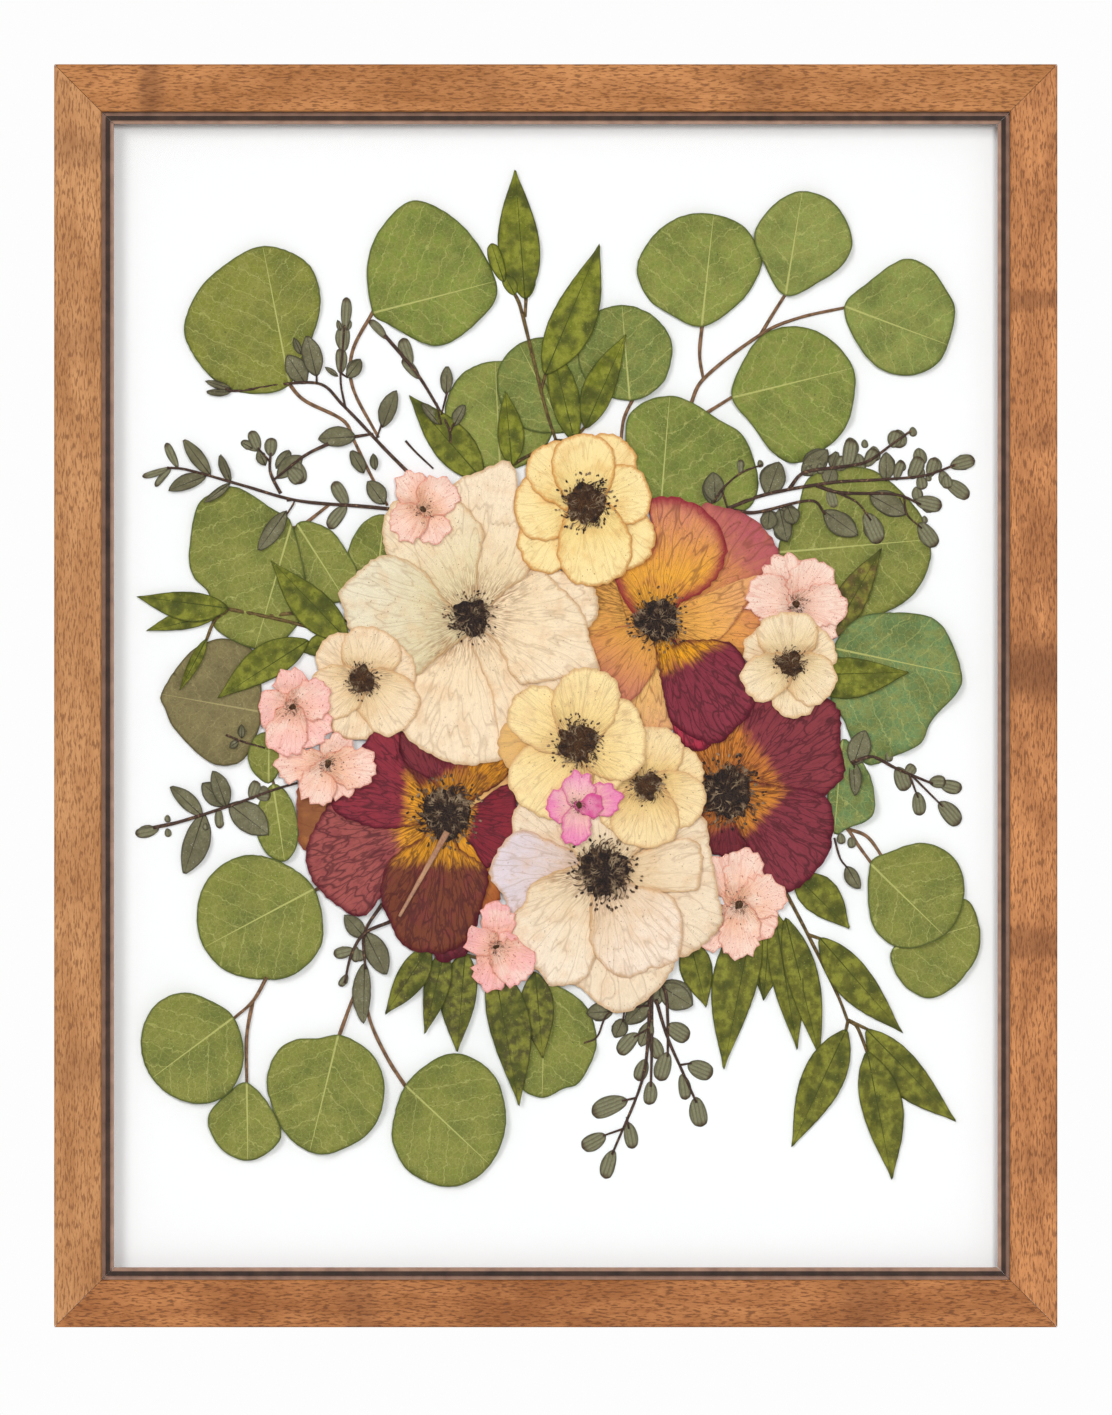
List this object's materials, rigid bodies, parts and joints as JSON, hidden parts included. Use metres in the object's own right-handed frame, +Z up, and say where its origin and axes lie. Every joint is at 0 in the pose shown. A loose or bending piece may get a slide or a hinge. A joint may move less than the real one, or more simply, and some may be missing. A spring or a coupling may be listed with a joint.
{
  "type": "pressed flower frame",
  "caption": "Pressed anemones, blossoms, eucalyptus and ruscus sprigs on white board behind glass, in a mitred wooden wall frame with a dark stepped fillet.",
  "frame": {"origin": "where a nail bears in the middle notch of the sawtooth hanger", "axes": "+Z up, the front of the frame towards -Y, +X to the viewer's right"},
  "size_m": [0.3066, 0.0231, 0.386],
  "materials": {
    "stained_wood": "satin",
    "fillet_wood": "satin",
    "clear_glass": "polished",
    "white_board": "matte",
    "hardboard": "matte",
    "plated_steel": "satin",
    "eucalyptus_leaf": "matte",
    "aged_leaf": "matte",
    "ruscus_leaf": "satin",
    "seeded_sprig": "matte",
    "cream_petal": "matte",
    "yellow_petal": "matte",
    "orange_petal": "matte",
    "burgundy_petal": "matte",
    "pink_petal": "matte",
    "bright_pink_petal": "matte"
  },
  "bodies": {
    "root": {"rail_top": "stained_wood", "rail_bottom": "stained_wood", "stile_left": "stained_wood", "stile_right": "stained_wood", "fillet_top": "fillet_wood", "fillet_bottom": "fillet_wood", "fillet_left": "fillet_wood", "fillet_right": "fillet_wood", "glass_pane": "clear_glass", "mount_board": "white_board", "back_panel": "hardboard", "hanger": "plated_steel", "eucalyptus_leaf_top_left": "eucalyptus_leaf", "eucalyptus_leaf_top_middle": "eucalyptus_leaf", "eucalyptus_spray_top_right": "eucalyptus_leaf", "eucalyptus_leaf_top_centre": "eucalyptus_leaf", "eucalyptus_leaf_upper_centre": "eucalyptus_leaf", "eucalyptus_leaf_upper_right": "eucalyptus_leaf", "eucalyptus_leaf_aged": "aged_leaf", "eucalyptus_pair_left": "eucalyptus_leaf", "eucalyptus_pair_lower_left": "eucalyptus_leaf", "eucalyptus_leaf_left": "eucalyptus_leaf", "eucalyptus_spray_lower_left": "eucalyptus_leaf", "eucalyptus_spray_bottom": "eucalyptus_leaf", "eucalyptus_leaf_bottom": "eucalyptus_leaf", "eucalyptus_leaf_right_upper": "eucalyptus_leaf", "eucalyptus_leaf_right_middle": "eucalyptus_leaf", "eucalyptus_pair_right": "eucalyptus_leaf", "ruscus_leaf_right_upper": "ruscus_leaf", "ruscus_leaf_upper_left": "ruscus_leaf", "ruscus_sprig_top": "ruscus_leaf", "ruscus_sprig_left": "ruscus_leaf", "ruscus_leaf_right": "ruscus_leaf", "ruscus_spray_lower_right": "ruscus_leaf", "ruscus_fan_bottom": "ruscus_leaf", "seeded_sprig_top_left": "seeded_sprig", "seeded_sprig_top": "seeded_sprig", "seeded_sprig_left_upper": "seeded_sprig", "seeded_sprig_right_upper": "seeded_sprig", "seeded_sprig_left_lower": "seeded_sprig", "seeded_sprig_below_left": "seeded_sprig", "seeded_sprig_bottom": "seeded_sprig", "seeded_sprig_right_lower": "seeded_sprig", "anemone_burgundy_right": "burgundy_petal", "anemone_orange": "orange_petal", "anemone_burgundy_left": "burgundy_petal", "anemone_cream_large": "cream_petal", "anemone_yellow": "yellow_petal", "anemone_cream_left": "cream_petal", "anemone_cream_lower": "cream_petal", "anemone_cream_small": "cream_petal", "anemone_cream_middle": "cream_petal", "anemone_cream_right": "cream_petal", "blossom_peach_lower": "pink_petal", "blossom_bright_pink": "bright_pink_petal", "blossom_pink_lower": "pink_petal", "blossom_pale_right": "pink_petal", "blossom_peach_left": "pink_petal", "blossom_pink_left": "pink_petal", "blossom_peach_top": "pink_petal"}
  },
  "joints": []
}
